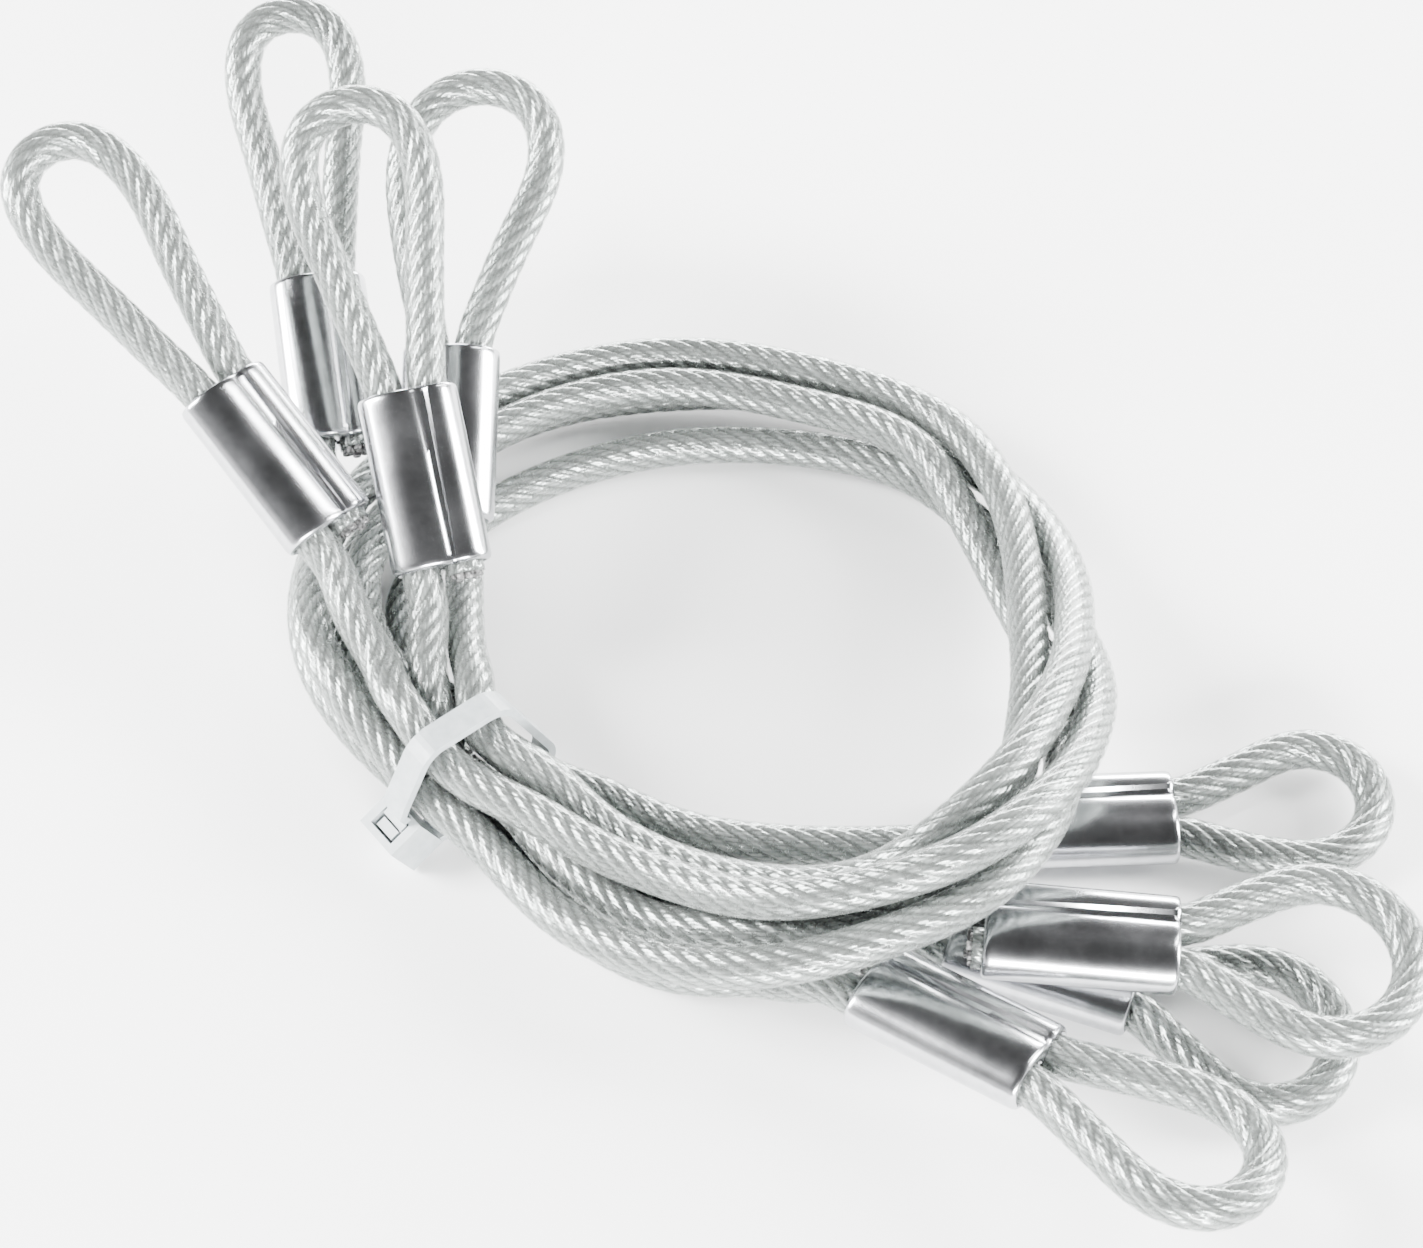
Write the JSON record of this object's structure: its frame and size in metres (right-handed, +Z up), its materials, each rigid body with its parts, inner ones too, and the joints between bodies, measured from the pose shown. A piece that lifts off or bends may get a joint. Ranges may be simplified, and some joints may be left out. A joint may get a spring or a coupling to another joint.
{
  "type": "wire rope sling",
  "caption": "Coiled bundle of short clear-coated wire rope slings with soft eyes closed by pressed aluminium sleeves, held together by a cable tie.",
  "frame": {"origin": "centre of the bundle's box, on the ground plane it lies on", "axes": "+Z up, +X from the ring towards the end eyes that lie on the ground, +Y from the near side of the ring to the far side"},
  "size_m": [0.172, 0.1706, 0.0537],
  "materials": {
    "coated_rope": "galvanised strands under a clear glossy plastic coat",
    "aluminium": "pressed, semi-polished",
    "nylon": "natural white nylon, slightly translucent"
  },
  "bodies": {
    "bundle": {"rope_a": "coated_rope", "rope_b": "coated_rope", "rope_c": "coated_rope", "rope_d": "coated_rope", "sleeve_a_end": "aluminium", "sleeve_b_end": "aluminium", "sleeve_c_end": "aluminium", "sleeve_d_end": "aluminium", "tail_a_end": "coated_rope", "tail_b_end": "coated_rope", "tail_c_end": "coated_rope", "tail_d_end": "coated_rope", "tie_strap": "nylon", "tie_head": "nylon"},
    "start_a": {"eye_a_start": "coated_rope", "sleeve_a_start": "aluminium"},
    "start_b": {"eye_b_start": "coated_rope", "sleeve_b_start": "aluminium"},
    "start_c": {"eye_c_start": "coated_rope", "sleeve_c_start": "aluminium"},
    "start_d": {"eye_d_start": "coated_rope", "sleeve_d_start": "aluminium"},
    "end_a": {"eye_a_end": "coated_rope"},
    "end_b": {"eye_b_end": "coated_rope"},
    "end_c": {"eye_c_end": "coated_rope"},
    "end_d": {"eye_d_end": "coated_rope"},
    "pawl": {"tie_pawl": "nylon"}
  },
  "joints": [
    {"name": "lift_a_start", "type": "hinge", "parent": "bundle", "child": "start_a", "pos_m": [-0.03274, 0.00063, 0.0157], "axis": [0.9701, 0.2425, 0], "range_deg": [0, 8], "stiffness_Nm_per_rad": 1.5},
    {"name": "lift_a_end", "type": "hinge", "parent": "bundle", "child": "end_a", "pos_m": [0.03885, -0.06367, 0.011], "axis": [-0.5653, -0.8066, 0.1728], "range_deg": [-8, 12], "stiffness_Nm_per_rad": 1},
    {"name": "lift_b_start", "type": "hinge", "parent": "bundle", "child": "start_b", "pos_m": [-0.0478, 0.02355, 0.01428], "axis": [0.9881, 0.1537, 0], "range_deg": [0, 10], "stiffness_Nm_per_rad": 1.5},
    {"name": "lift_b_end", "type": "hinge", "parent": "bundle", "child": "end_b", "pos_m": [0.05585, -0.04779, 0.01154], "axis": [-0.116, -0.9932, 0], "range_deg": [-6, 12], "stiffness_Nm_per_rad": 1},
    {"name": "lift_c_start", "type": "hinge", "parent": "bundle", "child": "start_c", "pos_m": [-0.04435, 0.00361, 0.01975], "axis": [0.7399, 0.6727, 0], "range_deg": [0, 12], "stiffness_Nm_per_rad": 1.5},
    {"name": "lift_c_end", "type": "hinge", "parent": "bundle", "child": "end_c", "pos_m": [0.05859, -0.02431, 0.00399], "axis": [0.03, -0.9996, 0], "range_deg": [0, 12], "stiffness_Nm_per_rad": 1},
    {"name": "lift_d_start", "type": "hinge", "parent": "bundle", "child": "start_d", "pos_m": [-0.02892, 0.01313, 0.01106], "axis": [0.9994, -0.0345, 0], "range_deg": [0, 9], "stiffness_Nm_per_rad": 1.5},
    {"name": "lift_d_end", "type": "hinge", "parent": "bundle", "child": "end_d", "pos_m": [0.05188, -0.0489, 0.00394], "axis": [-0.361, -0.9326, 0], "range_deg": [0, 6], "stiffness_Nm_per_rad": 1},
    {"name": "pawl_flex", "type": "hinge", "parent": "bundle", "child": "pawl", "pos_m": [-0.03517, -0.02543, 0.00146], "axis": [0.6157, -0.788, 0], "range_deg": [-2, 2], "stiffness_Nm_per_rad": 0.02}
  ]
}
